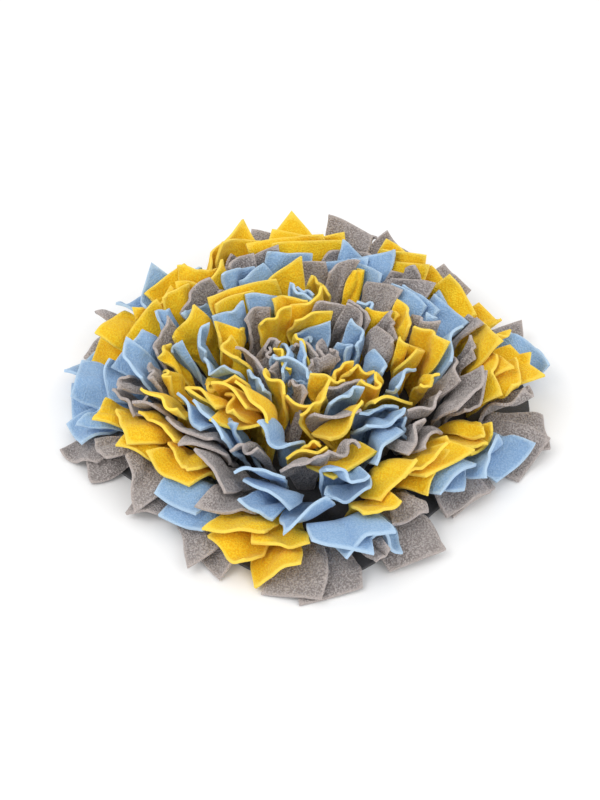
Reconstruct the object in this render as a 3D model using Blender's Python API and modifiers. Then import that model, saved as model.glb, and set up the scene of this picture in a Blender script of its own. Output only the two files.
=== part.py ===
"""Snuffle mat: a felt base with seven rings of fleece flaps, sewn down along narrow seam strips.

Metres, +Z up. The origin is the middle of the base's underside, so the mat rests on z = 0.
The mat's outline is a circle with four blunt corners, which point along the X and Y axes.
Flap 0 of every ring is at the front (-Y), and the flaps are counted anticlockwise from above.
"""
import math

import bpy
from mathutils import Vector
from mathutils.bvhtree import BVHTree

# Base cloth
BASE_RADIUS = 0.192
BASE_THICK = 0.004
BASE_SIDES = 64
CORNER_STAND = 0.0125      # how far the left and right corners stand out of the circle, and how
                           # far the sides between the corners fall back behind it
FRONT_STAND = 0.0085       # added to that at the front, and taken off at the back
ROUND_WITHIN = 0.11        # rings smaller than this grow round towards the middle

# Fleece
FLEECE_THICK = 0.0018
FLAP_WIDTH = 0.050         # a strip cut two inches wide
WIDE_FLAP = 0.078          # a strip cut three inches wide
ROOT_SHARE = 0.62          # how much of its place in the ring a gathered root fills
RISE_ANGLE = 80.0          # how steeply a flap stands up from its seam, in degrees
BEND = 0.20                # share of its length over which it then bends down to its lean

# Seam strips: three to a ring, one for each colour
SEAM_WIDTH = 0.0027
SEAM_STEP = 0.0067
SEAM_SLACK = 0.0009        # how far a straight run of a seam strip may leave its circle
SEAM_LEVEL = BASE_THICK + 0.0004 + FLEECE_THICK / 2

# Laying the flaps over each other
LAY_GAP = 0.0004           # room kept round a flap as it is laid on those below
LAY_PUSH = 0.0003          # how far a touching spot is eased off them at a time
LAY_RAISE = 1.2            # degrees by which the run or the end of it is raised at a time
LAY_STEEPEST = 86.0
LAY_TRIES = 160
ROOT_PUSH_SHARE = 0.35     # how much of the push the row next to the seam takes
PUSH_SPREAD = 0.6          # how much of a spot's lift its neighbours take on
CALM_WAVE = 0.975          # how much of its wave and of its curl a flap keeps at each try
CALM_CURL = 0.98
ORDER_SLACK = 0.0035       # how far in its seam a flap may be laid before its neighbours
NEAR_FLAP = 0.11           # flaps further off than this cannot touch

ACROSS = 4                 # faces across a flap
ALONG = (0.0, 0.24, 0.58, 1.0)   # rows along a flap, as shares of its length
SECTION_STEPS = 24         # steps in which a cross-section is worked out
LEAN_STEPS = 48            # steps in which the run of a flap is worked out

COLOURS = {
    # letter: name, base colour
    "Y": ("yellow", (0.86, 0.56, 0.03)),
    "B": ("blue", (0.29, 0.46, 0.71)),
    "G": ("grey", (0.28, 0.235, 0.215)),
}

FOLDS = {
    # letter: curl, wave, waves across, droop, turn, width, taper
    #   curl, wave, droop and turn are in degrees; + curl bends the sides up, droop bends the
    #   end down, and taper is the share of its width that the end loses
    "f": (12, 8, 1.0, 14, 0, FLAP_WIDTH, 0.00),     # flat
    "c": (75, 10, 1.0, 10, 0, FLAP_WIDTH, 0.00),    # cupped
    "r": (-70, 8, 1.0, 20, 0, FLAP_WIDTH, 0.08),    # ridged
    "s": (15, 66, 1.0, 12, 8, FLAP_WIDTH, 0.00),    # bent as an S
    "w": (10, 72, 1.5, 8, -6, FLAP_WIDTH, 0.00),    # ruffled
    "u": (150, 0, 1.0, 6, 0, FLAP_WIDTH, 0.00),     # rolled to a U
    "t": (25, 12, 1.0, 12, 26, FLAP_WIDTH, 0.05),   # twisted
    "x": (16, 10, 1.0, 10, 0, WIDE_FLAP, 0.00),     # wide and flat
    "p": (-60, 0, 1.0, 0, 0, FLAP_WIDTH, 0.55),     # drawn to a point
}

RINGS = (
    # name, root radius, length, share of full width, rise, front droop, unevenness, seams from
    # the outside in; then a letter or figure for each flap: colour, fold, lean in tens of degrees
    ("rim", 0.143, 0.074, 1.04, 0.005, 18, 0.7, "GBY",
     "GBGYBGBGYBGYYGYGGYGYBYBGYBBGYGYBGY",
     "ffffrcffrfcsfctcfxfxprfffffrrffrff",
     "0001221121212324242353312100122100"),
    ("outer", 0.117, 0.070, 1.00, 0.008, 30, 0.7, "YGB",
     "BBYBGGYGYYGBBGYBGYBGBYGYYBBGYBGBGY",
     "fcrtsfufffcfcufrfxfcfrcffrcfccrcff",
     "0011112222333344555555443322211100"),
    ("third", 0.093, 0.070, 0.96, 0.010, 40, 0.7, "BGY",
     "GGYBBYGGYGYBGBBGYBYYBYGGYYYYYB",
     "sutwsrutftssrffcfrxfffcctfrfff",
     "221333344445555555555443333322"),
    ("fourth", 0.071, 0.066, 0.84, 0.014, 40, 0.6, "BYG",
     "YYBGYBYGGYGGYYBGBYYBGBYG",
     "rfscuwtswtutfcwsfccfwsws",
     "323344455555555555544333"),
    ("inner", 0.049, 0.064, 0.80, 0.020, 40, 0.6, "GYB",
     "BYYBBGYYBGYB",
     "wuswcswuscww",
     "435556666545"),
    ("centre", 0.028, 0.060, 0.60, 0.030, 30, 0.6, "YBG",
     "GYBBGY",
     "csfcus",
     "567776"),
    ("heart", 0.008, 0.056, 0.34, 0.030, 20, 0.5, "GBY",
     "BB",
     "fc",
     "88"),
)


def reach(radius, angle):
    """How far out a ring of this radius lies at an angle: small rings are round."""
    stand = CORNER_STAND - FRONT_STAND * math.sin(angle)
    return radius + stand * min(1.0, radius / ROUND_WITHIN) * math.cos(4.0 * angle)


def square_to_ring(radius, angle):
    """How far the way straight out from a ring turns away from the line from the middle."""
    turn = 0.01
    slope = (reach(radius, angle + turn) - reach(radius, angle - turn)) / (2.0 * turn)
    return -math.atan2(slope, reach(radius, angle))


def jitter(*key):
    """A fixed number from -1 to 1 for each key, as uneven as hand sewing."""
    mix = sum((i + 1) * 12.9898 * k for i, k in enumerate(key, 1))
    value = math.sin(mix) * 43758.5453
    return 2.0 * (value - math.floor(value)) - 1.0


def on_ring(radius, angle, level):
    """A point of a ring at an angle and a height."""
    out = reach(radius, angle)
    return Vector((out * math.cos(angle), out * math.sin(angle), level))


def make_flap(ring_no, ring, index):
    """The fixed sizes of one flap, before it is laid."""
    name, root, length, breadth, rise, front_droop, uneven, seams, colours, folds, leans = ring
    count = len(colours)
    curl, wave, waves, droop, turn, width, taper = FOLDS[folds[index]]
    angle = math.radians(-90.0 + 360.0 * (index + 0.06 * jitter(ring_no, index, 1)) / count)
    colour, width = colours[index], width * breadth
    radius = root + SEAM_STEP * (1 - seams.index(colour))
    front = 0.5 - 0.5 * math.sin(angle)
    return {
        "ring": name, "colour": colour, "index": index,
        "angle": angle, "radius": radius,
        "root": min(0.6 * width, ROOT_SHARE * math.tau * radius / count),
        "length": length * (1.0 + 0.05 * jitter(ring_no, index, 2)),
        "width": width * (1.0 + 0.04 * jitter(ring_no, index, 3)),
        "taper": taper, "rise": rise * (1.0 + 0.2 * jitter(ring_no, index, 10)),
        "lean": 10.0 * int(leans[index]) + 5.0 * jitter(ring_no, index, 4),
        "droop": droop + front_droop * front,
        "curl": curl * (1.0 + 0.15 * jitter(ring_no, index, 5)),
        "wave": wave, "waves": waves, "phase": math.pi * jitter(ring_no, index, 6),
        "turn": turn * (1.0 if index % 2 else -1.0) + 14.0 * uneven * jitter(ring_no, index, 9),
        "yaw": 20.0 * uneven * jitter(ring_no, index, 7),
        "skew": 0.16 * jitter(ring_no, index, 8),
    }


def cross_section(flap, share, across):
    """Points across a flap at one share of its length, as (along the width, up) pairs."""
    grown = min(1.0, max(0.0, (share - 0.05) / 0.6))
    grown = grown * grown * (3.0 - 2.0 * grown)
    flare = min(1.0, share / 0.55)
    flare = flare * flare * (3.0 - 2.0 * flare)
    width = flap["root"] + (flap["width"] - flap["root"]) * flare
    width *= 1.0 - flap["taper"] * share ** 3
    curl = math.radians(flap["curl"]) * grown
    wave = math.radians(flap["wave"]) * grown
    fine = SECTION_STEPS
    points = [(0.0, 0.0)]
    for step in range(fine):
        u = (step + 0.5) / fine - 0.5
        slope = curl * u + wave * math.sin(math.tau * flap["waves"] * u + flap["phase"])
        x, h = points[-1]
        points.append((x + width / fine * math.cos(slope), h + width / fine * math.sin(slope)))
    mid_x, mid_h = points[fine // 2]
    rise = sum(h for _, h in points) / len(points) - mid_h
    picked = []
    for col in range(across + 1):
        place = fine * col / across
        low = min(fine - 1, int(place))
        part = place - low
        x = points[low][0] * (1 - part) + points[low + 1][0] * part
        h = points[low][1] * (1 - part) + points[low + 1][1] * part
        picked.append((x - mid_x, h - mid_h - rise * 0.5))
    return picked


def flap_rows(flap, along=ALONG, across=ACROSS):
    """A flap's middle surface before it is laid: rows of points from its seam to its cut end,
    and for each row the way its upper side faces."""
    angle, yaw, lean = flap["angle"], math.radians(flap["yaw"]), flap["lean"]
    square = square_to_ring(flap["radius"], angle)
    spread = flap["root"] / flap["radius"]
    rows = [[on_ring(flap["radius"], angle + spread * (col / across - 0.5), SEAM_LEVEL)
             for col in range(across + 1)]]
    faces = [Vector((0.0, 0.0, 1.0))]
    centre = on_ring(flap["radius"], angle, SEAM_LEVEL)
    up = Vector((0.0, 0.0, 1.0))
    rise_share = flap["rise"] / flap["length"]
    done = 1
    for step in range(LEAN_STEPS):
        share = (step + 0.5) / LEAN_STEPS
        bend = min(1.0, max(0.0, (share - rise_share) / BEND))
        bend = bend * bend * (3.0 - 2.0 * bend)
        tilt = RISE_ANGLE + (lean - RISE_ANGLE) * bend
        tilt -= flap["droop"] * max(0.0, share - 0.5) / 0.5
        tilt = math.radians(tilt)
        head = angle + square * (1.0 - 0.7 * share) + yaw * share
        out = Vector((math.cos(head), math.sin(head), 0.0))
        forward = out * math.cos(tilt) + up * math.sin(tilt)
        centre = centre + forward * (flap["length"] / LEAN_STEPS)
        if (step + 1) / LEAN_STEPS >= along[done] - 1e-6:
            side = up.cross(out)
            face = forward.cross(side)
            roll = math.radians(flap["turn"]) * share
            side, face = (side * math.cos(roll) + face * math.sin(roll),
                          face * math.cos(roll) - side * math.sin(roll))
            slant = 2.0 * flap["skew"] * flap["length"] * along[done] ** 2 / flap["width"]
            rows.append([centre + side * x + face * h + forward * (slant * x)
                         for x, h in cross_section(flap, along[done], across)])
            faces.append(face)
            done += 1
    return rows, faces


def skin(rows, gap):
    """The closed skin of a flap with a gap all round, as points and triangles; point k and
    point k + (number of row points) lie on the two sides of row point k."""
    high, wide = len(rows), len(rows[0])
    top, under = [], []
    for r in range(high):
        for c in range(wide):
            along = rows[min(r + 1, high - 1)][c] - rows[max(r - 1, 0)][c]
            across = rows[r][min(c + 1, wide - 1)] - rows[r][max(c - 1, 0)]
            face = along.cross(across).normalized() * (0.5 * FLEECE_THICK + gap)
            place = rows[r][c].copy()
            if c in (0, wide - 1):
                place += across.normalized() * (gap if c else -gap)
            if r == high - 1:
                place += along.normalized() * gap
            top.append(place + face)
            under.append(place - face)
    shift = len(top)
    quads = []
    for r in range(high - 1):
        for c in range(wide - 1):
            a = r * wide + c
            quads.append((a, a + 1, a + wide + 1, a + wide))
            quads.append(tuple(shift + k for k in quads[-1]))
    edge = ([c for c in range(wide)] + [r * wide + wide - 1 for r in range(1, high)]
            + [(high - 1) * wide + c for c in range(wide - 2, -1, -1)]
            + [r * wide for r in range(high - 2, 0, -1)])
    for a, b in zip(edge, edge[1:] + edge[:1]):
        quads.append((a, b, b + shift, a + shift))
    triangles = [t for q in quads for t in ((q[0], q[1], q[2]), (q[0], q[2], q[3]))]
    return top + under, triangles


def base_skin(gap):
    """The base cloth's side and upper face with a gap round them, as points and triangles."""
    ring = [on_ring(BASE_RADIUS + gap, math.tau * k / BASE_SIDES, 0.0) for k in range(BASE_SIDES)]
    top = [Vector((p.x, p.y, BASE_THICK + gap)) for p in ring]
    count = BASE_SIDES
    middle = 2 * count
    faces = []
    for k in range(count):
        after = (k + 1) % count
        faces += [(k, after, count + after), (k, count + after, count + k),
                  (count + k, count + after, middle)]
    return ring + top + [Vector((0.0, 0.0, BASE_THICK + gap))], faces


def lay_one(flap, below):
    """Raise the run or the end of a flap where it touches what is already laid, ease the
    touching spots off it, and return the flap's rows."""
    wide, high = ACROSS + 1, len(ALONG)
    lift = [[0.0] * wide for _ in range(high)]
    floor = 0.5 * FLEECE_THICK + LAY_GAP
    for _ in range(LAY_TRIES):
        rows, faces = flap_rows(flap)
        placed = [[rows[r][c] + faces[r] * lift[r][c] for c in range(wide)] for r in range(high)]
        for row in placed[1:]:
            for point in row:
                point.z = max(point.z, floor)
        points, triangles = skin(placed[1:], LAY_GAP)
        tree = BVHTree.FromPolygons(points, triangles, all_triangles=True)
        hits = {pair[0] for pair in tree.overlap(below)}
        if not hits:
            break
        half = len(points) // 2
        touched = {k % half for hit in hits for k in triangles[hit]}
        end_hits = sum(max(k % half for k in triangles[hit]) >= half - wide for hit in hits)
        if end_hits < len(hits) and flap["lean"] < LAY_STEEPEST:
            flap["lean"] += LAY_RAISE
            flap["droop"] += LAY_RAISE
        if end_hits and flap["lean"] - flap["droop"] < LAY_STEEPEST:
            flap["droop"] -= LAY_RAISE
        for k in touched:
            r, c = 1 + k // wide, k % wide
            lift[r][c] += LAY_PUSH * (ROOT_PUSH_SHARE if r == 1 else 1.0)
        for r in range(2, high):
            for c in range(wide):
                near = [lift[rr][cc] for rr, cc in ((r - 1, c), (r + 1, c), (r, c - 1), (r, c + 1))
                        if 1 < rr < high and 0 <= cc < wide]
                lift[r][c] = max(lift[r][c], PUSH_SPREAD * max(near))
        flap["wave"] *= CALM_WAVE
        flap["curl"] *= CALM_CURL
    return placed


def lay_flaps():
    """Lay the flaps from the rim inward, and in each ring from its outer seam inward."""
    laid, done = [], []
    base = base_skin(LAY_GAP)
    for ring_no, ring in enumerate(RINGS):
        flaps = [make_flap(ring_no, ring, index) for index in range(len(ring[8]))]
        flaps.sort(key=lambda flap: ORDER_SLACK * jitter(flap["index"], 11) - flap["radius"])
        for flap in flaps:
            home = on_ring(flap["radius"] + 0.03, flap["angle"], 0.02)
            points, triangles = list(base[0]), list(base[1])
            for middle, own_points, own_triangles in done:
                if (middle - home).length < NEAR_FLAP:
                    shift = len(points)
                    points += own_points
                    triangles += [tuple(shift + k for k in t) for t in own_triangles]
            below = BVHTree.FromPolygons(points, triangles, all_triangles=True)
            rows = lay_one(flap, below)
            own_points, own_triangles = skin(rows, 0.0)
            done.append((sum(own_points, Vector()) / len(own_points), own_points, own_triangles))
            laid.append((flap, rows))
    return laid


def seam_and_flaps(name, flaps):
    """One open surface: a seam strip round the mat with its flaps rising from its outer edge."""
    flaps = sorted(flaps, key=lambda item: item[0]["angle"])
    points, faces = [], []
    radius = flaps[0][0]["radius"]
    inner = radius - SEAM_WIDTH

    def add(point):
        points.append(point)
        return len(points) - 1

    spans, roots = [], []
    for flap, rows in flaps:
        half = 0.5 * flap["root"] / flap["radius"]
        spans.append((flap["angle"] - half, flap["angle"] + half))
        grid = [[add(p) for p in row] for row in rows]
        for low, high in zip(grid, grid[1:]):
            for c in range(len(low) - 1):
                faces.append((low[c], low[c + 1], high[c + 1]))
                faces.append((low[c], high[c + 1], high[c]))
        roots.append(grid[0])
    heel = [tuple(add(on_ring(inner, angle, SEAM_LEVEL)) for angle in (a, 0.5 * (a + b), b))
            for a, b in spans]
    for root, back in zip(roots, heel):
        faces.append((*back, *reversed(root)))
    for k, (_, start) in enumerate(spans):
        following = (k + 1) % len(spans)
        end = spans[following][0]
        if end < start:
            end += math.tau
        middle = 0.5 * (start + end)
        sharper = 1.0 + 16.0 * max(0.0, reach(radius, middle) / radius - 1.0)
        run = math.sqrt(8.0 * radius * SEAM_SLACK / sharper)
        parts = math.ceil((end - start) * radius / run)
        outer_low, inner_low = roots[k][-1], heel[k][-1]
        for part in range(1, parts + 1):
            if part == parts:
                outer_high, inner_high = roots[following][0], heel[following][0]
            else:
                angle = start + (end - start) * part / parts
                outer_high = add(on_ring(radius, angle, SEAM_LEVEL))
                inner_high = add(on_ring(inner, angle, SEAM_LEVEL))
            faces.append((inner_low, inner_high, outer_high, outer_low))
            outer_low, inner_low = outer_high, inner_high
    mesh = bpy.data.meshes.new(name)
    mesh.from_pydata([tuple(p) for p in points], [], faces)
    mesh.validate()
    body = bpy.data.objects.new(name, mesh)
    thick = body.modifiers.new("fleece", "SOLIDIFY")
    thick.thickness = FLEECE_THICK
    thick.offset = 0.0
    thick.use_even_offset = False
    thick.use_quality_normals = True
    return body


def base_cloth():
    """A round sheet of felt with four blunt corners, which lies flat on the floor."""
    outline = [on_ring(BASE_RADIUS, math.tau * k / BASE_SIDES, 0.0) for k in range(BASE_SIDES)]
    mesh = bpy.data.meshes.new("base_cloth")
    mesh.from_pydata([tuple(p) for p in outline], [], [tuple(range(BASE_SIDES))])
    body = bpy.data.objects.new("base_cloth", mesh)
    thick = body.modifiers.new("felt", "SOLIDIFY")
    thick.thickness = BASE_THICK
    thick.offset = 1.0
    return body


def fleece(name, colour, rough):
    material = bpy.data.materials.new(name)
    material.use_nodes = True
    shader = material.node_tree.nodes["Principled BSDF"]
    shader.inputs["Base Color"].default_value = (*colour, 1.0)
    shader.inputs["Roughness"].default_value = rough
    shader.inputs["Metallic"].default_value = 0.0
    material.diffuse_color = (*colour, 1.0)
    return material


def main():
    for old in list(bpy.data.objects):
        bpy.data.objects.remove(old, do_unlink=True)
    parts = bpy.data.collections.new("snuffle_mat")
    bpy.context.scene.collection.children.link(parts)
    felt = fleece("base_felt", (0.045, 0.045, 0.05), 0.95)
    base = base_cloth()
    base.data.materials.append(felt)
    parts.objects.link(base)
    cloths = {key: fleece(f"{name}_fleece", colour, 0.9)
              for key, (name, colour) in COLOURS.items()}
    laid = lay_flaps()
    for ring in RINGS:
        for key, (colour_name, _) in COLOURS.items():
            own = [(flap, rows) for flap, rows in laid
                   if flap["ring"] == ring[0] and flap["colour"] == key]
            if not own:
                continue
            body = seam_and_flaps(f"{ring[0]}_{colour_name}", own)
            body.data.materials.append(cloths[key])
            parts.objects.link(body)


main()
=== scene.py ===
"""Snuffle mat in its finished cloths: fleece flaps laid ring over ring on a felt base.

The flaps are laid out from the same chart as the solids, with more of them between. They then
settle as real cloth, held at their seams, and get their thickness, their cut edges and a fleece
finish. Metres, +Z up, origin in the middle of the base's underside.
"""

import math
from collections import namedtuple

import bpy
from bpy.props import FloatProperty, FloatVectorProperty, IntProperty, PointerProperty
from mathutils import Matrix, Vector
from mathutils.bvhtree import BVHTree


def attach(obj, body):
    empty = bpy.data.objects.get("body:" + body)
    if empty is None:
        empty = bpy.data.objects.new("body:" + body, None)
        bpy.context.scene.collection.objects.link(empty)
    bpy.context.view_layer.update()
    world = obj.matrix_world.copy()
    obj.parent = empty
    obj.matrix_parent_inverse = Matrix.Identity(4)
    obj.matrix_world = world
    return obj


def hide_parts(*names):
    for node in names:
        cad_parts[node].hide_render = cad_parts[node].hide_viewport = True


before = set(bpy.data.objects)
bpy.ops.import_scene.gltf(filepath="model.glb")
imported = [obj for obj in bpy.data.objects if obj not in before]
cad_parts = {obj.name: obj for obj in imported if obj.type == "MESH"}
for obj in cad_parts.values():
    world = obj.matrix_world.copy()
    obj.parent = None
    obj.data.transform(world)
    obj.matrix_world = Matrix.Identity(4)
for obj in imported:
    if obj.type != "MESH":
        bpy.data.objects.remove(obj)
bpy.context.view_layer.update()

bl_info = {
    "name": "Snuffle mat",
    "version": (1, 0, 0),
    "blender": (4, 5, 0),
    "location": "3D View > Sidebar > Mat",
    "description": "Makes a felt base with rings of settled fleece flaps, and its stage",
    "category": "Object",
}

BODY = "root"

# Base cloth
BASE_THICK = 0.004
BASE_SIDES = 128
BASE_SKIN_SIDES = 64       # sides of the base while flaps are laid on it
CORNER_STAND = 0.0125      # how far the left and right corners stand out of the circle, and how
                           # far the sides between the corners fall back behind it
FRONT_STAND = 0.0085       # added to that at the front, and taken off at the back
ROUND_WITHIN = 0.11        # rings smaller than this grow round towards the middle
WORN_EDGE, WORN_EDGE_STEPS = 0.0009, 3

# Form of a flap
WIDE_SHARE = 1.56          # a wide strip is three inches to the usual two
ROOT_SHARE = 0.62          # how much of its place in the ring a gathered root fills
MOST_ROOT = 0.6            # how much of the flap's width its root is at most
RISE_ANGLE = 80.0          # how steeply a flap stands up from its seam, in degrees
BEND = 0.20                # share of its length over which it then bends down to its lean
SEAM_STEP = 0.0067         # from one seam of a ring to the next
SEAM_LEVEL = BASE_THICK + 0.0013
LOOSE_YAW = 18.0           # how much more those not in the chart turn aside, in degrees
ACROSS = 4                 # faces across a flap
ALONG = (0.0, 0.24, 0.58, 1.0)   # rows along a flap, as shares of its length
CURL_FROM, CURL_OVER = 0.05, 0.6     # shares of its length over which its curl and wave grow
FLARE_OVER = 0.55          # share of its length over which it widens from its root
DROOP_FROM = 0.5           # share of its length from which its end droops
SQUARE_LOST = 0.7          # how much of its turn square to the ring it has lost at its end
SECTION_STEPS = 24         # steps in which a cross-section is worked out
LEAN_STEPS = 48            # steps in which the run of a flap is worked out

UNEVEN = {
    # how far each may be off, as in hand sewing: place in places along its ring, lean, yaw and
    # turn in degrees, and the others as shares
    "place": 0.06, "length": 0.05, "width": 0.04, "lean": 5.0, "curl": 0.15, "yaw": 20.0,
    "skew": 0.16, "turn": 14.0, "rise": 0.2,
}

# Laying: a flap is raised and eased off what lies below it, in tries of so many degrees
LAY_THICK = 0.0010         # the flaps are laid thin, and find their room as they settle
LAY_GAP = 0.0003           # room kept round a flap as it is laid on those below
LAY_PUSH = 0.0003          # how far a touching spot is eased off them at a time
LAY_STEEPEST = 86.0        # the steepest lean, in degrees
ROOT_PUSH_SHARE = 0.35     # how much of the push the row next to the seam takes
PUSH_SPREAD = 0.6          # how much of a spot's lift its neighbours take on
CALM_WAVE = 0.990          # how much of its wave and of its curl a flap keeps at each try
CALM_CURL = 0.992
ORDER_SLACK = 0.0035       # how far in its seam a flap may be laid before its neighbours
NEAR_FLAP = 0.11           # flaps further off than this don't touch
FLAP_REACH, FLAP_RISE = 0.03, 0.02   # about how far out and up a flap's middle is from its root
LAY_TRIES, LAY_STEP = 160, 1.2
UNDER_TRIES, UNDER_STEP = 26, 3.0
FILLER_TRIES, FILLER_STEP = 16, 2.0
ADDED_TRIES, ADDED_STEP = 30, 1.0

# The under half of a strip
UNDER_ASIDE = 0.45         # how far aside of the upper half it lies, as a share of its place
UNDER_LOWER = 12.0         # how much lower it leans, in degrees
UNDER_LENGTH = 0.96        # of the upper half's length

# Fillers: flaps tried along each seam, and kept only where they find room
FILLER_PITCH = 0.014       # from one try to the next along a seam
FILLER_FOLDS = "scwfcs"
FILLER_SHARE = 0.7         # of the width of the ring's flaps
FILLER_LEAST = 0.030       # least width
FILLER_BESIDE = 3          # how many neighbours it takes its lean from

# Flaps sewn in last, over spots that stay bare
ADDED_LEAST = 0.8          # least share of the full width

# Keys that keep the uneven numbers of these flaps apart from those of the chart
UNDER_KEY, FILLER_KEY, FILLER_SEAM_KEY, ADDED_KEY = 20, 40, 10, 80

# Cloth that settles
CLOTH_ACROSS = 8           # faces across a flap
CLOTH_ALONG = 9            # and along it
HELD_ROWS = 2              # rows of points that the seam holds
FLOOR_REACH = 1.0
MOST_SPREAD = 0.04         # the largest of the spreads below
SPREADS = {                # how much larger than laid a ring's flaps are cut
    "rim": 1.0, "outer": 1.02, "third": 1.04, "fourth": 1.04, "inner": 1.0, "centre": 1.0,
    "heart": 1.0,
}
CLOTH = {
    "quality": 8, "mass": 0.002, "air_damping": 2.0,
    "tension_stiffness": 60.0, "compression_stiffness": 60.0, "shear_stiffness": 5.0,
    "bending_stiffness": 0.5, "tension_damping": 5.0, "compression_damping": 5.0,
    "shear_damping": 5.0, "bending_damping": 0.5,
}
CLOTH_TOUCH = {
    "collision_quality": 2, "distance_min": 0.001, "use_self_collision": True,
    "self_distance_min": 0.0024, "self_friction": 10.0,
}
FLOOR_TOUCH = {"thickness_outer": 0.0012, "thickness_inner": 0.002, "cloth_friction": 30.0}

# Finish
NAP_SHADE_CONTRAST = 1.6         # how sharply the tufts' colour stands out from the painted shade in the gaps between them
CUT_EDGE, CUT_EDGE_STEPS = 0.0007, 2
EDGE_ANGLE = math.radians(50.0)

# Stage
FLOOR_SIZE = 8.0
SKY_STRENGTH = 0.97
LAMPS = (
    # name, place, size, power in watts
    ("key", (-0.9, -0.6, 1.7), 1.0, 9.0),
    ("fill", (1.2, -0.9, 1.2), 1.2, 5.0),
)
CAMERA_HEIGHT = math.radians(44.5)
CAMERA_DISTANCE = 1.55
CAMERA_LENS, CAMERA_SENSOR = 75.8, 36.0
CAMERA_SHIFT = (-0.0075, 0.005)

FOLDS = {
    # letter: curl, wave, waves across, droop, turn, share of the width, taper
    #   curl, wave, droop and turn are in degrees; + curl bends the sides up, droop bends the
    #   end down, and taper is the share of its width that the end loses
    "f": (12, 8, 1.0, 14, 0, 1.0, 0.00),            # flat
    "c": (75, 10, 1.0, 10, 0, 1.0, 0.00),           # cupped
    "r": (-70, 8, 1.0, 20, 0, 1.0, 0.08),           # ridged
    "s": (15, 66, 1.0, 12, 8, 1.0, 0.00),           # bent as an S
    "w": (10, 72, 1.5, 8, -6, 1.0, 0.00),           # ruffled
    "u": (150, 0, 1.0, 6, 0, 1.0, 0.00),            # rolled to a U
    "t": (25, 12, 1.0, 12, 26, 1.0, 0.05),          # twisted
    "x": (16, 10, 1.0, 10, 0, WIDE_SHARE, 0.00),    # wide and flat
    "p": (-60, 0, 1.0, 0, 0, 1.0, 0.55),            # drawn to a point
}

Ring = namedtuple("Ring", "name root length share rise front_droop uneven seams colours folds "
                          "leans unders")

RINGS = tuple(Ring(*row) for row in (
    # name, root radius, length, share of full width, rise, front droop, unevenness, seams from
    # the outside in; then a letter or figure for each flap: colour, fold, lean in tens of
    # degrees, and 1 where the other half of its strip is laid under it
    ("rim", 0.143, 0.071, 1.04, 0.005, 18, 1.15, "GBY",
     "GBGYBGBGYBGYYGYGGYGYBYBGYBBGYGYBGY",
     "ffffrcffrfcsfctcfxfxprfffffrrffrff",
     "0001221121212324242353312100122100",
     "1111111111111111111111111111111111"),
    ("outer", 0.117, 0.070, 1.00, 0.008, 30, 0.95, "YGB",
     "BBYBGGYGYYGBBGYBGYBGBYGYYBBGYBGBGY",
     "fcrtsfufffcfcufrfxfcfrcffrcfccrcff",
     "0011112222333344555555443322211100",
     "1111111111010101010101010111111111"),
    ("third", 0.093, 0.070, 0.96, 0.010, 40, 0.7, "BGY",
     "GGYBBYGGYGYBGBBGYBYYBYGGYYYYYB",
     "sutwsrutftssrffcfrxfffcctfrfff",
     "221333344445555555555443333322",
     "111101000000000000000000010111"),
    ("fourth", 0.071, 0.066, 0.84, 0.014, 40, 0.6, "BYG",
     "YYBGYBYGGYGGYYBGBYYBGBYG",
     "rfscuwtswtutfcwsfccfwsws",
     "323344455555555555544333",
     "000000000000000000000000"),
    ("inner", 0.049, 0.064, 0.80, 0.020, 40, 0.6, "GYB",
     "BYYBBGYYBGYB",
     "wuswcswuscww",
     "435556666545",
     "000000000000"),
    ("centre", 0.028, 0.060, 0.72, 0.030, 30, 0.6, "YBG",
     "GYBBGY",
     "csfcus",
     "567776",
     "000000"),
    ("heart", 0.008, 0.056, 0.55, 0.030, 20, 0.5, "GBY",
     "BB",
     "fc",
     "88",
     "00"),
))

ADDED = (
    # ring, degrees anticlockwise from the front, colour, fold, lean in degrees
    ("rim", 7, "B", "f", 3.0),
    ("rim", 39, "Y", "f", 4.0),
    ("rim", 88, "Y", "f", 0.0),
    ("third", 326, "Y", "c", 30.0),
    ("third", 92, "B", "s", 45.0),
    ("third", 8, "Y", "f", 22.0),
    ("fourth", 350, "B", "s", 42.0),
    ("fourth", 14, "G", "c", 48.0),
    ("inner", 0, "Y", "u", 58.0),
)

COLOUR_NAMES = {"Y": "yellow", "B": "blue", "G": "grey"}


class MatSizes(bpy.types.PropertyGroup):
    base_radius: FloatProperty(
        name="Base radius", description="Mean radius of the felt base",
        default=0.192, min=0.05, unit="LENGTH")
    flap_width: FloatProperty(
        name="Flap width", description="Width of the strips that the flaps are cut from",
        default=0.050, min=0.01, unit="LENGTH")
    fleece_thick: FloatProperty(
        name="Fleece thickness", description="Thickness of the fleece",
        default=0.0026, min=0.0005, unit="LENGTH")
    settle_frames: IntProperty(
        name="Settling", description="Steps over which the flaps settle under their weight",
        default=22, min=1, max=200)


class MatColours(bpy.types.PropertyGroup):
    yellow: FloatVectorProperty(
        name="Yellow", description="Colour of the yellow fleece", subtype="COLOR", size=3,
        default=(0.96, 0.66, 0.035), min=0.0, max=1.0)
    blue: FloatVectorProperty(
        name="Blue", description="Colour of the light blue fleece", subtype="COLOR", size=3,
        default=(0.345, 0.515, 0.735), min=0.0, max=1.0)
    grey: FloatVectorProperty(
        name="Grey", description="Colour of the taupe grey fleece", subtype="COLOR", size=3,
        default=(0.50, 0.45, 0.435), min=0.0, max=1.0)
    # Dark grey: the felt's own colour together with painted shade, which its rim carries where it
    # peeps out under the lowest flaps
    felt: FloatVectorProperty(
        name="Felt", description="Colour of the felt base", subtype="COLOR", size=3,
        default=(0.060, 0.060, 0.064), min=0.0, max=1.0)


# ---------------------------------------------------------------- laying the flaps

def reach(radius, angle):
    """How far out a ring of this radius lies at an angle: small rings are round."""
    stand = CORNER_STAND - FRONT_STAND * math.sin(angle)
    return radius + stand * min(1.0, radius / ROUND_WITHIN) * math.cos(4.0 * angle)


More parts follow.
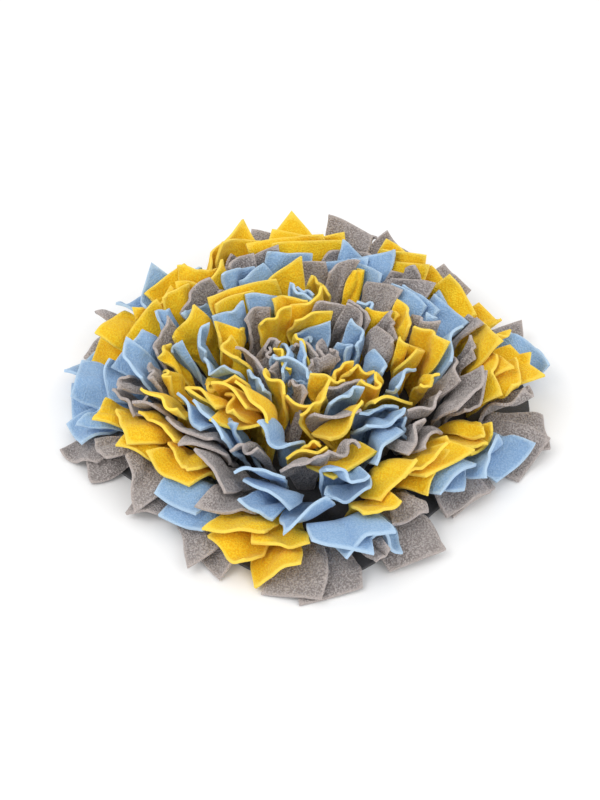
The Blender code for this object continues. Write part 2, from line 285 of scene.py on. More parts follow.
def square_to_ring(radius, angle):
    """How far the way straight out from a ring turns away from the line from the middle."""
    turn = 0.01
    slope = (reach(radius, angle + turn) - reach(radius, angle - turn)) / (2.0 * turn)
    return -math.atan2(slope, reach(radius, angle))


def jitter(*key):
    """A fixed number from -1 to 1 for each key, as uneven as hand sewing."""
    mix = sum((i + 1) * 12.9898 * k for i, k in enumerate(key, 1))
    value = math.sin(mix) * 43758.5453
    return 2.0 * (value - math.floor(value)) - 1.0


def eased(share):
    """A share of a way, kept within 0 and 1, that starts and ends softly."""
    share = min(1.0, max(0.0, share))
    return share * share * (3.0 - 2.0 * share)


def on_ring(radius, angle, level):
    """A point of a ring at an angle and a height."""
    out = reach(radius, angle)
    return Vector((out * math.cos(angle), out * math.sin(angle), level))


def plan_flap(ring_no, ring, index, place, colour, fold, lean, width, length, loose=0.0,
              outward=0.0):
    """The fixed sizes of one flap, before it is laid, at a place counted along its ring."""
    count = len(ring.colours)
    curl, wave, waves, droop, turn, share, taper = FOLDS[fold]
    angle = math.radians(
        -90.0 + 360.0 * (place + UNEVEN["place"] * jitter(ring_no, index, 1)) / count)
    width *= share
    radius = ring.root + SEAM_STEP * (1 - ring.seams.index(colour)) + outward
    droop += ring.front_droop * (0.5 - 0.5 * math.sin(angle))
    return {
        "ring": ring.name, "colour": colour, "index": index,
        "angle": angle, "radius": radius,
        "root": min(MOST_ROOT * width, ROOT_SHARE * math.tau * radius / count),
        "length": length * (1.0 + UNEVEN["length"] * jitter(ring_no, index, 2)),
        "width": width * (1.0 + UNEVEN["width"] * jitter(ring_no, index, 3)),
        "taper": taper,
        "rise": ring.rise * (1.0 + UNEVEN["rise"] * jitter(ring_no, index, 10)),
        "lean": lean, "droop": droop,
        "curl": curl * (1.0 + UNEVEN["curl"] * jitter(ring_no, index, 5)),
        "wave": wave, "waves": waves, "phase": math.pi * jitter(ring_no, index, 6),
        "turn": (turn * (1.0 if index % 2 else -1.0)
                 + UNEVEN["turn"] * ring.uneven * jitter(ring_no, index, 9)),
        "yaw": (UNEVEN["yaw"] * ring.uneven + loose) * jitter(ring_no, index, 7),
        "skew": UNEVEN["skew"] * jitter(ring_no, index, 8),
    }


def upper_flap(ring_no, ring, index, full_width):
    """A flap of the chart."""
    lean = 10.0 * int(ring.leans[index]) + UNEVEN["lean"] * jitter(ring_no, index, 4)
    return plan_flap(ring_no, ring, index, index, ring.colours[index], ring.folds[index],
                     lean, full_width * ring.share, ring.length)


def under_flap(ring_no, ring, index, full_width):
    """The other half of a strip, a little aside of the upper one and under it: a strip is
    sewn down across its middle."""
    other = ring_no + UNDER_KEY
    lean = (10.0 * int(ring.leans[index]) + UNEVEN["lean"] * jitter(other, index, 4)
            - UNDER_LOWER)
    return plan_flap(other, ring, index, index + UNDER_ASIDE, ring.colours[index],
                     ring.folds[index], max(0.0, lean), full_width * ring.share,
                     ring.length * UNDER_LENGTH, LOOSE_YAW, 0.5 * SEAM_STEP)


def filler_count(ring):
    """How many fillers are tried along each seam of a ring."""
    return max(4, int(math.tau * ring.root / FILLER_PITCH))


def filler_flap(ring_no, ring, number, colour, full_width, laid):
    """A flap on a seam between the others, leaning as those nearest to it do."""
    other = ring_no + FILLER_KEY + FILLER_SEAM_KEY * ring.seams.index(colour)
    fold = FILLER_FOLDS[(number + ring_no) % len(FILLER_FOLDS)]
    place = number * len(ring.colours) / filler_count(ring)
    filler = plan_flap(other, ring, number, place, colour, fold, 0.0,
                       max(FILLER_LEAST, full_width * ring.share * FILLER_SHARE), ring.length,
                       LOOSE_YAW)
    root = on_ring(filler["radius"], filler["angle"], 0.0)
    nearest = sorted((flap for flap, _ in laid),
                     key=lambda flap: (on_ring(flap["radius"], flap["angle"], 0.0) - root).length)
    nearest = nearest[:FILLER_BESIDE]
    filler["lean"] = sum(flap["lean"] for flap in nearest) / FILLER_BESIDE
    filler["droop"] = sum(flap["droop"] for flap in nearest) / FILLER_BESIDE
    return filler


def added_flap(ring_no, ring, degrees, colour, fold, lean, full_width):
    """A flap sewn in last, where the settled ones leave a bare spot, at an angle from the
    front."""
    place = len(ring.colours) * degrees / 360.0
    return plan_flap(ring_no + ADDED_KEY, ring, degrees, place, colour, fold, lean,
                     full_width * max(ADDED_LEAST, ring.share), ring.length, LOOSE_YAW)


def cross_section(flap, share):
    """Points across a flap at one share of its length, as (along the width, up) pairs."""
    grown = eased((share - CURL_FROM) / CURL_OVER)
    width = flap["root"] + (flap["width"] - flap["root"]) * eased(share / FLARE_OVER)
    width *= 1.0 - flap["taper"] * share ** 3
    curl = math.radians(flap["curl"]) * grown
    wave = math.radians(flap["wave"]) * grown
    run = width / SECTION_STEPS
    points = [(0.0, 0.0)]
    for step in range(SECTION_STEPS):
        u = (step + 0.5) / SECTION_STEPS - 0.5
        slope = curl * u + wave * math.sin(math.tau * flap["waves"] * u + flap["phase"])
        x, h = points[-1]
        points.append((x + run * math.cos(slope), h + run * math.sin(slope)))
    mid_x, mid_h = points[SECTION_STEPS // 2]
    rise = sum(h for _, h in points) / len(points) - mid_h
    picked = []
    for col in range(ACROSS + 1):
        place = SECTION_STEPS * col / ACROSS
        low = min(SECTION_STEPS - 1, int(place))
        part = place - low
        x = points[low][0] * (1 - part) + points[low + 1][0] * part
        h = points[low][1] * (1 - part) + points[low + 1][1] * part
        picked.append((x - mid_x, h - mid_h - rise * 0.5))
    return picked


def flap_rows(flap):
    """A flap's middle surface before it is laid: rows of points from its seam to its cut end,
    and for each row the way its upper side faces."""
    angle, yaw, lean = flap["angle"], math.radians(flap["yaw"]), flap["lean"]
    square = square_to_ring(flap["radius"], angle)
    spread = flap["root"] / flap["radius"]
    rows = [[on_ring(flap["radius"], angle + spread * (col / ACROSS - 0.5), SEAM_LEVEL)
             for col in range(ACROSS + 1)]]
    up = Vector((0.0, 0.0, 1.0))
    faces = [up]
    centre = on_ring(flap["radius"], angle, SEAM_LEVEL)
    rise_share = flap["rise"] / flap["length"]
    done = 1
    for step in range(LEAN_STEPS):
        share = (step + 0.5) / LEAN_STEPS
        tilt = RISE_ANGLE + (lean - RISE_ANGLE) * eased((share - rise_share) / BEND)
        tilt -= flap["droop"] * max(0.0, share - DROOP_FROM) / (1.0 - DROOP_FROM)
        tilt = math.radians(tilt)
        head = angle + square * (1.0 - SQUARE_LOST * share) + yaw * share
        out = Vector((math.cos(head), math.sin(head), 0.0))
        forward = out * math.cos(tilt) + up * math.sin(tilt)
        centre = centre + forward * (flap["length"] / LEAN_STEPS)
        if (step + 1) / LEAN_STEPS >= ALONG[done] - 1e-6:
            side = up.cross(out)
            face = forward.cross(side)
            roll = math.radians(flap["turn"]) * share
            side, face = (side * math.cos(roll) + face * math.sin(roll),
                          face * math.cos(roll) - side * math.sin(roll))
            slant = 2.0 * flap["skew"] * flap["length"] * ALONG[done] ** 2 / flap["width"]
            rows.append([centre + side * x + face * h + forward * (slant * x)
                         for x, h in cross_section(flap, ALONG[done])])
            faces.append(face)
            done += 1
    return rows, faces


def skin(rows, gap):
    """The closed skin of a flap with a gap all round, as points and triangles; point k and
    point k + (number of row points) lie on the two sides of row point k."""
    high, wide = len(rows), len(rows[0])
    top, under = [], []
    for r in range(high):
        for c in range(wide):
            along = rows[min(r + 1, high - 1)][c] - rows[max(r - 1, 0)][c]
            across = rows[r][min(c + 1, wide - 1)] - rows[r][max(c - 1, 0)]
            face = along.cross(across).normalized() * (0.5 * LAY_THICK + gap)
            place = rows[r][c].copy()
            if c in (0, wide - 1):
                place += across.normalized() * (gap if c else -gap)
            if r == high - 1:
                place += along.normalized() * gap
            top.append(place + face)
            under.append(place - face)
    shift = len(top)
    quads = []
    for r in range(high - 1):
        for c in range(wide - 1):
            a = r * wide + c
            quads.append((a, a + 1, a + wide + 1, a + wide))
            quads.append(tuple(shift + k for k in quads[-1]))
    edge = ([c for c in range(wide)] + [r * wide + wide - 1 for r in range(1, high)]
            + [(high - 1) * wide + c for c in range(wide - 2, -1, -1)]
            + [r * wide for r in range(high - 2, 0, -1)])
    for a, b in zip(edge, edge[1:] + edge[:1]):
        quads.append((a, b, b + shift, a + shift))
    triangles = [t for q in quads for t in ((q[0], q[1], q[2]), (q[0], q[2], q[3]))]
    return top + under, triangles


def base_skin(gap, radius):
    """The base cloth's side and upper face with a gap round them, as points and triangles."""
    count = BASE_SKIN_SIDES
    ring = [on_ring(radius + gap, math.tau * k / count, 0.0) for k in range(count)]
    top = [Vector((p.x, p.y, BASE_THICK + gap)) for p in ring]
    middle = 2 * count
    faces = []
    for k in range(count):
        after = (k + 1) % count
        faces += [(k, after, count + after), (k, count + after, count + k),
                  (count + k, count + after, middle)]
    return ring + top + [Vector((0.0, 0.0, BASE_THICK + gap))], faces


def body_of(points, triangles):
    """A laid flap's skin with its middle, by which those near to a new flap are found."""
    return sum(points, Vector()) / len(points), points, triangles


def near_tree(flap, base, bodies):
    """A tree of the base and of the laid flaps that a new one may touch."""
    home = on_ring(flap["radius"] + FLAP_REACH, flap["angle"], FLAP_RISE)
    points, triangles = list(base[0]), list(base[1])
    for middle, own_points, own_triangles in bodies:
        if (middle - home).length < NEAR_FLAP:
            shift = len(points)
            points += own_points
            triangles += [tuple(shift + k for k in t) for t in own_triangles]
    return BVHTree.FromPolygons(points, triangles, all_triangles=True)


def lay_one(flap, below, tries, step):
    """Raise the run or the end of a flap where it touches what is already laid, ease the
    touching spots off it, and return the flap's rows and whether it is free."""
    wide, high = ACROSS + 1, len(ALONG)
    lift = [[0.0] * wide for _ in range(high)]
    floor = 0.5 * LAY_THICK + LAY_GAP
    free = False
    for _ in range(tries):
        rows, faces = flap_rows(flap)
        placed = [[rows[r][c] + faces[r] * lift[r][c] for c in range(wide)] for r in range(high)]
        for row in placed[1:]:
            for point in row:
                point.z = max(point.z, floor)
        points, triangles = skin(placed[1:], LAY_GAP)
        tree = BVHTree.FromPolygons(points, triangles, all_triangles=True)
        hits = {pair[0] for pair in tree.overlap(below)}
        free = not hits
        if free:
            break
        half = len(points) // 2
        touched = {k % half for hit in hits for k in triangles[hit]}
        end_hits = sum(max(k % half for k in triangles[hit]) >= half - wide for hit in hits)
        if end_hits < len(hits) and flap["lean"] < LAY_STEEPEST:
            flap["lean"] += step
            flap["droop"] += step
        if end_hits and flap["lean"] - flap["droop"] < LAY_STEEPEST:
            flap["droop"] -= step
        for k in touched:
            r, c = 1 + k // wide, k % wide
            lift[r][c] += LAY_PUSH * (ROOT_PUSH_SHARE if r == 1 else 1.0)
        for r in range(2, high):
            for c in range(wide):
                near = [lift[rr][cc] for rr, cc in ((r - 1, c), (r + 1, c), (r, c - 1), (r, c + 1))
                        if 1 < rr < high and 0 <= cc < wide]
                lift[r][c] = max(lift[r][c], PUSH_SPREAD * max(near))
        flap["wave"] *= CALM_WAVE
        flap["curl"] *= CALM_CURL
    return placed, free


def lay_flaps(sizes):
    """Lay the flaps from the rim inward, and in each ring from its outer seam inward; then
    the fillers, where they find room."""
    laid, bodies = [], []
    base = base_skin(LAY_GAP, sizes.base_radius)

    def lay(flap, tries, step, only_free=True):
        rows, free = lay_one(flap, near_tree(flap, base, bodies), tries, step)
        if free or not only_free:
            bodies.append(body_of(*skin(rows, 0.0)))
            laid.append((flap, rows))

    for ring_no, ring in enumerate(RINGS):
        flaps = [(upper_flap(ring_no, ring, index, sizes.flap_width), False)
                 for index in range(len(ring.colours))]
        flaps += [(under_flap(ring_no, ring, index, sizes.flap_width), True)
                  for index in range(len(ring.colours)) if ring.unders[index] == "1"]
        flaps.sort(key=lambda pair: ORDER_SLACK * jitter(pair[0]["index"], 11)
                   - pair[0]["radius"])
        for flap, under in flaps:
            if under:
                lay(flap, UNDER_TRIES, UNDER_STEP)
            else:
                lay(flap, LAY_TRIES, LAY_STEP, only_free=False)
    for ring_no, ring in enumerate(RINGS):
        for colour in ring.seams:
            for number in range(filler_count(ring) if colour in ring.colours else 0):
                filler = filler_flap(ring_no, ring, number, colour, sizes.flap_width, laid)
                if ring_no or math.sin(filler["angle"]) < 0.0:
                    lay(filler, FILLER_TRIES, FILLER_STEP)
    return laid


# ---------------------------------------------------------------- settling the flaps as cloth

def sew_in_last(grids, sizes):
    """Lay the added flaps over the settled ones."""
    numbers = {ring.name: number for number, ring in enumerate(RINGS)}
    base = base_skin(LAY_GAP, sizes.base_radius)
    gap = 0.5 * sizes.fleece_thick
    bodies = [body_of(*skin(grid, gap)) for grid in grids]
    added = []
    for name, degrees, colour, fold, lean in ADDED:
        ring_no = numbers[name]
        flap = added_flap(ring_no, RINGS[ring_no], degrees, colour, fold, lean,
                          sizes.flap_width)
        rows, _ = lay_one(flap, near_tree(flap, base, bodies), ADDED_TRIES, ADDED_STEP)
        bodies.append(body_of(*skin(fine_grid(rows), gap)))
        added.append((flap, rows))
    return added


def smooth_between(values, places, at):
    """A smooth curve through the values at their places, read at one place."""
    last = len(places) - 1
    k = next((i for i in range(last) if at <= places[i + 1]), last - 1)
    run = places[k + 1] - places[k]
    t = (at - places[k]) / run

    def slope(i):
        if i == 0:
            return (values[1] - values[0]) / (places[1] - places[0])
        if i == last:
            return (values[last] - values[last - 1]) / (places[last] - places[last - 1])
        before, after = places[i] - places[i - 1], places[i + 1] - places[i]
        return ((values[i] - values[i - 1]) / before * after
                + (values[i + 1] - values[i]) / after * before) / (before + after)

    return ((2 * t ** 3 - 3 * t * t + 1) * values[k]
            + (t ** 3 - 2 * t * t + t) * run * slope(k)
            + (3 * t * t - 2 * t ** 3) * values[k + 1]
            + (t ** 3 - t * t) * run * slope(k + 1))


def fine_grid(rows):
    """The rows of a laid flap drawn as smooth curves, as a finer grid of points."""
    across = [c / ACROSS for c in range(ACROSS + 1)]
    wide = [[smooth_between(row, across, c / CLOTH_ACROSS) for c in range(CLOTH_ACROSS + 1)]
            for row in rows]
    return [[smooth_between([row[c] for row in wide], ALONG, k / CLOTH_ALONG)
             for c in range(CLOTH_ACROSS + 1)] for k in range(CLOTH_ALONG + 1)]


def grid_faces(shift, rows, columns):
    """Quads of a grid of points whose first point has the number shift."""
    wide = columns + 1
    return [(shift + r * wide + c, shift + r * wide + c + 1,
             shift + (r + 1) * wide + c + 1, shift + (r + 1) * wide + c)
            for r in range(rows) for c in range(columns)]


def solid_underlay(sizes):
    """The base and the floor as plain bodies that the settling flaps rest on."""
    points, faces = base_skin(0.0, sizes.base_radius)
    mesh = bpy.data.meshes.new("underlay")
    shift = len(points)
    points = [tuple(p) for p in points]
    points += [(x * FLOOR_REACH, y * FLOOR_REACH, 0.0)
               for x, y in ((-1, -1), (1, -1), (1, 1), (-1, 1))]
    mesh.from_pydata(points, [], faces + [tuple(shift + k for k in range(4))])
    body = bpy.data.objects.new("underlay", mesh)
    bpy.context.scene.collection.objects.link(body)
    body.modifiers.new("floor", "COLLISION")
    for name, value in FLOOR_TOUCH.items():
        setattr(body.collision, name, value)
    return body


def settle(laid, grids, sizes):
    """Let all flaps settle together under their weight, held at their seams, and spread to
    their full size against each other."""
    points, faces, held = [], [], []
    for grid in grids:
        faces += grid_faces(len(points), CLOTH_ALONG, CLOTH_ACROSS)
        held += range(len(points), len(points) + HELD_ROWS * (CLOTH_ACROSS + 1))
        points += [tuple(p) for row in grid for p in row]
    mesh = bpy.data.meshes.new("settling")
    mesh.from_pydata(points, [], faces)
    body = bpy.data.objects.new("settling", mesh)
    scene = bpy.context.scene
    scene.collection.objects.link(body)
    body.vertex_groups.new(name="held").add(held, 1.0, "REPLACE")
    spread = body.vertex_groups.new(name="spread")
    size = (CLOTH_ACROSS + 1) * (CLOTH_ALONG + 1)
    for k, (flap, _) in enumerate(laid):
        share = (SPREADS[flap["ring"]] - 1.0) / MOST_SPREAD
        spread.add(range(k * size, (k + 1) * size), share, "REPLACE")
    underlay = solid_underlay(sizes)
    cloth = body.modifiers.new("cloth", "CLOTH")
    for settings, values in ((cloth.settings, CLOTH), (cloth.collision_settings, CLOTH_TOUCH)):
        for name, value in values.items():
            setattr(settings, name, value)
    cloth.settings.vertex_group_mass = "held"
    cloth.settings.vertex_group_shrink = "spread"
    cloth.settings.shrink_min = 0.0
    cloth.settings.shrink_max = -MOST_SPREAD
    cloth.point_cache.frame_start = 1
    cloth.point_cache.frame_end = sizes.settle_frames
    for step in range(1, sizes.settle_frames + 1):
        scene.frame_set(step)
    settled = body.evaluated_get(bpy.context.evaluated_depsgraph_get())
    places = [v.co.copy() for v in settled.data.vertices]
    scene.frame_set(1)
    for helper in (body, underlay):
        bpy.data.objects.remove(helper, do_unlink=True)
    wide = CLOTH_ACROSS + 1
    return [[places[k * size + r * wide:k * size + (r + 1) * wide]
             for r in range(CLOTH_ALONG + 1)] for k in range(len(grids))]


# ---------------------------------------------------------------- finishes

def socket(tree, name, way, value=None):
    """A float input or output of a node group."""
    made = tree.interface.new_socket(name=name, in_out=way, socket_type="NodeSocketFloat")
    if value is not None:
        made.default_value = value


def node(tree, kind, **values):
    """A shader node with values for its inputs, whose names have _ for a space."""
    made = tree.nodes.new(f"ShaderNode{kind}")
    for name, value in values.items():
        made.inputs[name.replace("_", " ")].default_value = value
    return made


def colour_mix(tree, factor, low, high):
    """A mix of two colours, each given as numbers or as the output of a node."""
    mix = tree.nodes.new("ShaderNodeMix")
    mix.data_type = "RGBA"
    tree.links.new(factor, mix.inputs["Factor"])
    for name, colour in (("A", low), ("B", high)):
        if isinstance(colour, tuple):
            mix.inputs[name].default_value = (*colour, 1.0)
        else:
            tree.links.new(colour, mix.inputs[name])
    return mix.outputs["Result"]


def shaded(colour, share):
    """A colour made lighter or darker."""
    return tuple(share * c for c in colour)


def cloth_material(name, colour, roughness, gloss, sheen, tuft_scale, curl, bump):
    """A new material with a rough shader and nap relief: the material, its tree, its shader
    and its nap."""
    material = bpy.data.materials.new(name)
    material.use_nodes = True
    material.diffuse_color = (*colour, 1.0)
    tree = material.node_tree
    shader = tree.nodes["Principled BSDF"]
    shader.inputs["Roughness"].default_value = roughness
    shader.inputs["Specular IOR Level"].default_value = gloss
    shader.inputs["Sheen Weight"].default_value = sheen
    nap = tree.nodes.new("ShaderNodeGroup")
    nap.node_tree = nap_group()
    nap.inputs["Tuft Scale"].default_value = tuft_scale
    nap.inputs["Curl"].default_value = curl
    relief = node(tree, "Bump", Strength=1.0, Distance=bump)
    tree.links.new(nap.outputs["Height"], relief.inputs["Height"])
    tree.links.new(relief.outputs["Normal"], shader.inputs["Normal"])
    return material, tree, shader, nap


def nap_group():
    """Fleece nap: small tufts with gaps between them, which the fleece fills with painted shade,
    and slow patches of lighter and darker tone, as a mask and a height."""
    name = "Fleece nap"
    if name in bpy.data.node_groups:
        return bpy.data.node_groups[name]
    tree = bpy.data.node_groups.new(name, "ShaderNodeTree")
    socket(tree, "Tuft Scale", "INPUT", 420.0)
    socket(tree, "Curl", "INPUT", 0.5)
    socket(tree, "Tufts", "OUTPUT")
    socket(tree, "Patches", "OUTPUT")
    socket(tree, "Height", "OUTPUT")
    link = tree.links.new
    source = tree.nodes.new("NodeGroupInput")
    result = tree.nodes.new("NodeGroupOutput")
    place = node(tree, "TexCoord").outputs["Object"]
    warp = node(tree, "TexNoise", Scale=260.0, Detail=2.0)
    link(place, warp.inputs["Vector"])
    shift = node(tree, "VectorMath")
    shift.operation = "MULTIPLY_ADD"
    shift.inputs[1].default_value = (0.003, 0.003, 0.003)
    link(warp.outputs["Color"], shift.inputs[0])
    link(place, shift.inputs[2])
    tuft = node(tree, "TexVoronoi")
    tuft.feature = "SMOOTH_F1"
    tuft.inputs["Smoothness"].default_value = 0.6
    link(shift.outputs[0], tuft.inputs["Vector"])
    link(source.outputs["Tuft Scale"], tuft.inputs["Scale"])
    round_off = node(tree, "MapRange", From_Min=0.22, From_Max=0.72, To_Min=1.0, To_Max=0.0)
    round_off.interpolation_type = "SMOOTHSTEP"
    link(tuft.outputs["Distance"], round_off.inputs["Value"])
    fine = node(tree, "TexNoise", Scale=900.0, Detail=3.0, Roughness=0.65)
    link(place, fine.inputs["Vector"])
    blend = node(tree, "Mix")
    blend.data_type = "FLOAT"
    link(source.outputs["Curl"], blend.inputs["Factor"])
    link(fine.outputs["Fac"], blend.inputs["A"])
    link(round_off.outputs["Result"], blend.inputs["B"])
    slow = node(tree, "TexNoise", Scale=38.0, Detail=2.0)
    link(place, slow.inputs["Vector"])
    link(blend.outputs["Result"], result.inputs["Tufts"])
    link(slow.outputs["Fac"], result.inputs["Patches"])
    link(blend.outputs["Result"], result.inputs["Height"])
    return tree


def fleece_material(name, colour, painted_gap_shade, pale, tuft_scale, curl, bump, sheen):
    """A fleece: nap on its face, with painted shade in the gaps between its tufts, paler along the
    cut edges.
    """
    material, tree, shader, nap = cloth_material(name, colour, 0.92, 0.15, sheen, tuft_scale,
                                                 curl, bump)
    shader.inputs["Sheen Roughness"].default_value = 0.45
    shader.inputs["Sheen Tint"].default_value = (*[0.5 + 0.5 * c for c in colour], 1.0)
    # painted shade: the colour goes from the fleece's own on the tufts to the painted gap shade in
    # the gaps between them
    gap_shade_mask = node(tree, "MapRange", From_Min=0.5 - 0.5 / NAP_SHADE_CONTRAST,
                 From_Max=0.5 + 0.5 / NAP_SHADE_CONTRAST)
    tree.links.new(nap.outputs["Tufts"], gap_shade_mask.inputs["Value"])
    body = colour_mix(tree, gap_shade_mask.outputs["Result"], painted_gap_shade, colour)
    patch = node(tree, "MapRange", From_Min=0.3, From_Max=0.7, To_Min=0.0, To_Max=0.35)
    tree.links.new(nap.outputs["Patches"], patch.inputs["Value"])
    patched = colour_mix(tree, patch.outputs["Result"], body, shaded(colour, 0.78))
    cut = node(tree, "Attribute")
    cut.attribute_name = "cut_edge"
    rim = node(tree, "MapRange", From_Min=0.62, From_Max=1.0, To_Max=0.75)
    tree.links.new(cut.outputs["Fac"], rim.inputs["Value"])
    edged = colour_mix(tree, rim.outputs["Result"], patched, pale)
    tree.links.new(edged, shader.inputs["Base Color"])
    return material


def fleece_materials(colours):
    """The three fleeces by the letters of their colours."""
    return {
        # for each: face colour, painted shade for the nap's gaps (orange on the yellow, for the
        # glow of light bounced between its flaps), paler cut edge, tuft scale, curl, bump, sheen
        "Y": fleece_material("yellow_nap", tuple(colours.yellow), (0.88, 0.47, 0.008),
                             (1.0, 0.76, 0.12), 620.0, 0.55, 0.0007, 0.25),
        "B": fleece_material("blue_nap", tuple(colours.blue), (0.24, 0.40, 0.64),
                             (0.52, 0.69, 0.86), 620.0, 0.55, 0.0007, 0.35),
        "G": fleece_material("grey_nap", tuple(colours.grey), (0.23, 0.20, 0.19),
                             (0.57, 0.50, 0.47), 640.0, 0.62, 0.0013, 0.45),
    }


def felt_material(colours):
    """Dense felt: short fibres in small clumps."""
    # the felt's colour carries painted shade as well as its own dark grey
    colour = tuple(colours.felt)
    material, tree, shader, nap = cloth_material("dense_felt", colour, 0.95, 0.2, 0.3, 700.0,
                                                 0.2, 0.0004)
    tone = colour_mix(tree, nap.outputs["Tufts"], shaded(colour, 0.7), shaded(colour, 1.5))
    tree.links.new(tone, shader.inputs["Base Color"])
    return material


# ---------------------------------------------------------------- pieces

def cut_size(flap, grid):
    """The area that a flap is cut to, from the points it was laid with."""
    points = [p for row in grid for p in row]
    area = sum(0.5 * (points[a] - points[c]).cross(points[b] - points[d]).length
               for a, b, c, d in grid_faces(0, CLOTH_ALONG, CLOTH_ACROSS))
    return area * SPREADS[flap["ring"]] ** 2


def soften(piece, name, width, steps):
    """A soft edge along a cut."""
    soft = piece.modifiers.new(name, "BEVEL")
    soft.width = width
    soft.segments = steps
    soft.limit_method = "ANGLE"
    soft.angle_limit = EDGE_ANGLE


def flap_piece(name, members, material, sizes):
    """All flaps of one colour in one ring, each sewn to the felt along its root."""
    points, faces, edge = [], [], []
    for flap, grid in members:
        faces += grid_faces(len(points), CLOTH_ALONG, CLOTH_ACROSS)
        for r, row in enumerate(grid):
            for c, point in enumerate(row):
                points.append(tuple(point))
                edge.append(1.0 if c in (0, CLOTH_ACROSS) or r == CLOTH_ALONG else 0.0)
    mesh = bpy.data.meshes.new(name)
    mesh.from_pydata(points, [], faces)
    mesh.attributes.new("cut_edge", "FLOAT", "POINT").data.foreach_set("value", edge)
    mesh.polygons.foreach_set("use_smooth", [True] * len(faces))
    mesh.materials.append(material)
    piece = bpy.data.objects.new(name, mesh)
    bpy.context.scene.collection.objects.link(piece)
    finer = piece.modifiers.new("drape", "SUBSURF")
    finer.levels = finer.render_levels = 1
    finer.boundary_smooth = "PRESERVE_CORNERS"
    thick = piece.modifiers.new("fleece", "SOLIDIFY")
    thick.thickness = sizes.fleece_thick
    thick.offset = 0.0
    soften(piece, "cut edge", CUT_EDGE, CUT_EDGE_STEPS)
    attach(piece, BODY)
    return piece


class SNUFFLE_OT_base_cloth(bpy.types.Operator):
    """Make the felt base that the seams are sewn to"""
    bl_idname = "snuffle.base_cloth"
    bl_label = "Felt base"

    def execute(self, context):
        sizes, colours = context.scene.snuffle_sizes, context.scene.snuffle_colours
        outline = [on_ring(sizes.base_radius, math.tau * k / BASE_SIDES, 0.0)
                   for k in range(BASE_SIDES)]
        mesh = bpy.data.meshes.new("base_felt_cloth")
        mesh.from_pydata([tuple(p) for p in outline], [], [tuple(range(BASE_SIDES))])
        mesh.materials.append(felt_material(colours))
        piece = bpy.data.objects.new("base_felt_cloth", mesh)
        context.scene.collection.objects.link(piece)
        thick = piece.modifiers.new("felt", "SOLIDIFY")
        thick.thickness = BASE_THICK
        thick.offset = 1.0
        soften(piece, "worn edge", WORN_EDGE, WORN_EDGE_STEPS)
        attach(piece, BODY)
        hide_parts("base_cloth")
        return {"FINISHED"}


class SNUFFLE_OT_fleece_flaps(bpy.types.Operator):
    """Lay, settle and finish the fleece flaps, one piece for each ring and colour"""
    bl_idname = "snuffle.fleece_flaps"
    bl_label = "Fleece flaps"

    def execute(self, context):
        sizes, colours = context.scene.snuffle_sizes, context.scene.snuffle_colours
        laid = lay_flaps(sizes)
        grids = [fine_grid(rows) for _, rows in laid]
        cut_areas = [cut_size(flap, grid) for (flap, _), grid in zip(laid, grids)]
        grids = settle(laid, grids, sizes)
        added = sew_in_last(grids, sizes)
        laid += added
        for flap, rows in added:
            grids.append(fine_grid(rows))
            cut_areas.append(cut_size(flap, grids[-1]))
        materials = fleece_materials(colours)
        for ring in RINGS:
            for key, colour_name in COLOUR_NAMES.items():
                own = [k for k, (flap, _) in enumerate(laid)
                       if flap["ring"] == ring.name and flap["colour"] == key]
                if own:
                    solid = f"{ring.name}_{colour_name}"
                    piece = flap_piece(f"{solid}_flaps", [(laid[k][0], grids[k]) for k in own],
                                       materials[key], sizes)
                    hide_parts(solid)
        return {"FINISHED"}


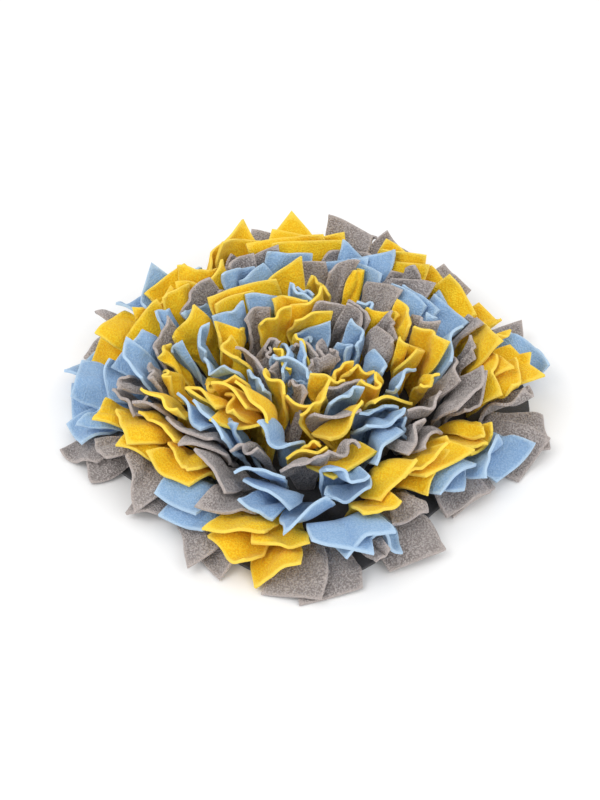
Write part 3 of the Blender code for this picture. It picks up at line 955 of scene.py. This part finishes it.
class SNUFFLE_OT_stage(bpy.types.Operator):
    """Make the pale floor, the soft lights and the camera"""
    bl_idname = "snuffle.stage"
    bl_label = "Stage"

    def execute(self, context):
        scene = context.scene
        bpy.ops.object.select_all(action="DESELECT")
        bpy.ops.mesh.primitive_plane_add(size=FLOOR_SIZE, location=(0.0, 0.0, 0.0))
        floor = context.object
        floor.name = "floor"
        paper = bpy.data.materials.new("pale_floor")
        paper.use_nodes = True
        shader = paper.node_tree.nodes["Principled BSDF"]
        shader.inputs["Base Color"].default_value = (0.93, 0.93, 0.93, 1.0)
        shader.inputs["Roughness"].default_value = 0.9
        shader.inputs["Specular IOR Level"].default_value = 0.1
        floor.data.materials.append(paper)

        world = bpy.data.worlds.new("studio")
        world.use_nodes = True
        sky = world.node_tree.nodes["Background"]
        sky.inputs["Color"].default_value = (1.0, 1.0, 1.0, 1.0)
        sky.inputs["Strength"].default_value = SKY_STRENGTH
        scene.world = world
        for name, place, size, power in LAMPS:
            bpy.ops.object.light_add(type="AREA", location=place)
            lamp = context.object
            lamp.name = name
            lamp.data.size = size
            lamp.data.energy = power
            lamp.rotation_euler = (-Vector(place)).to_track_quat("-Z", "Y").to_euler()

        bpy.ops.object.camera_add(
            location=(0.0, -CAMERA_DISTANCE * math.cos(CAMERA_HEIGHT),
                      CAMERA_DISTANCE * math.sin(CAMERA_HEIGHT)),
            rotation=(math.pi / 2 - CAMERA_HEIGHT, 0.0, 0.0))
        camera = context.object
        camera.data.lens = CAMERA_LENS
        camera.data.sensor_width = CAMERA_SENSOR
        camera.data.shift_x, camera.data.shift_y = CAMERA_SHIFT
        scene.camera = camera
        scene.view_settings.view_transform = "Standard"
        return {"FINISHED"}


class SNUFFLE_PT_panel(bpy.types.Panel):
    """Sizes, colours and steps of the snuffle mat"""
    bl_idname = "SNUFFLE_PT_panel"
    bl_label = "Snuffle mat"
    bl_space_type = "VIEW_3D"
    bl_region_type = "UI"
    bl_category = "Mat"

    def draw(self, context):
        scene = context.scene
        for group, names in ((scene.snuffle_sizes, MatSizes.__annotations__),
                             (scene.snuffle_colours, MatColours.__annotations__)):
            for name in names:
                self.layout.prop(group, name)
        for step in STEPS:
            self.layout.operator(step.bl_idname)


STEPS = (SNUFFLE_OT_base_cloth, SNUFFLE_OT_fleece_flaps, SNUFFLE_OT_stage)
CLASSES = (MatSizes, MatColours, *STEPS, SNUFFLE_PT_panel)


def register():
    for each in CLASSES:
        bpy.utils.register_class(each)
    bpy.types.Scene.snuffle_sizes = PointerProperty(type=MatSizes)
    bpy.types.Scene.snuffle_colours = PointerProperty(type=MatColours)


def unregister():
    del bpy.types.Scene.snuffle_colours
    del bpy.types.Scene.snuffle_sizes
    for each in reversed(CLASSES):
        bpy.utils.unregister_class(each)


def main():
    register()
    bpy.ops.snuffle.base_cloth()
    bpy.ops.snuffle.fleece_flaps()
    bpy.ops.snuffle.stage()


if __name__ == "__main__":
    main()
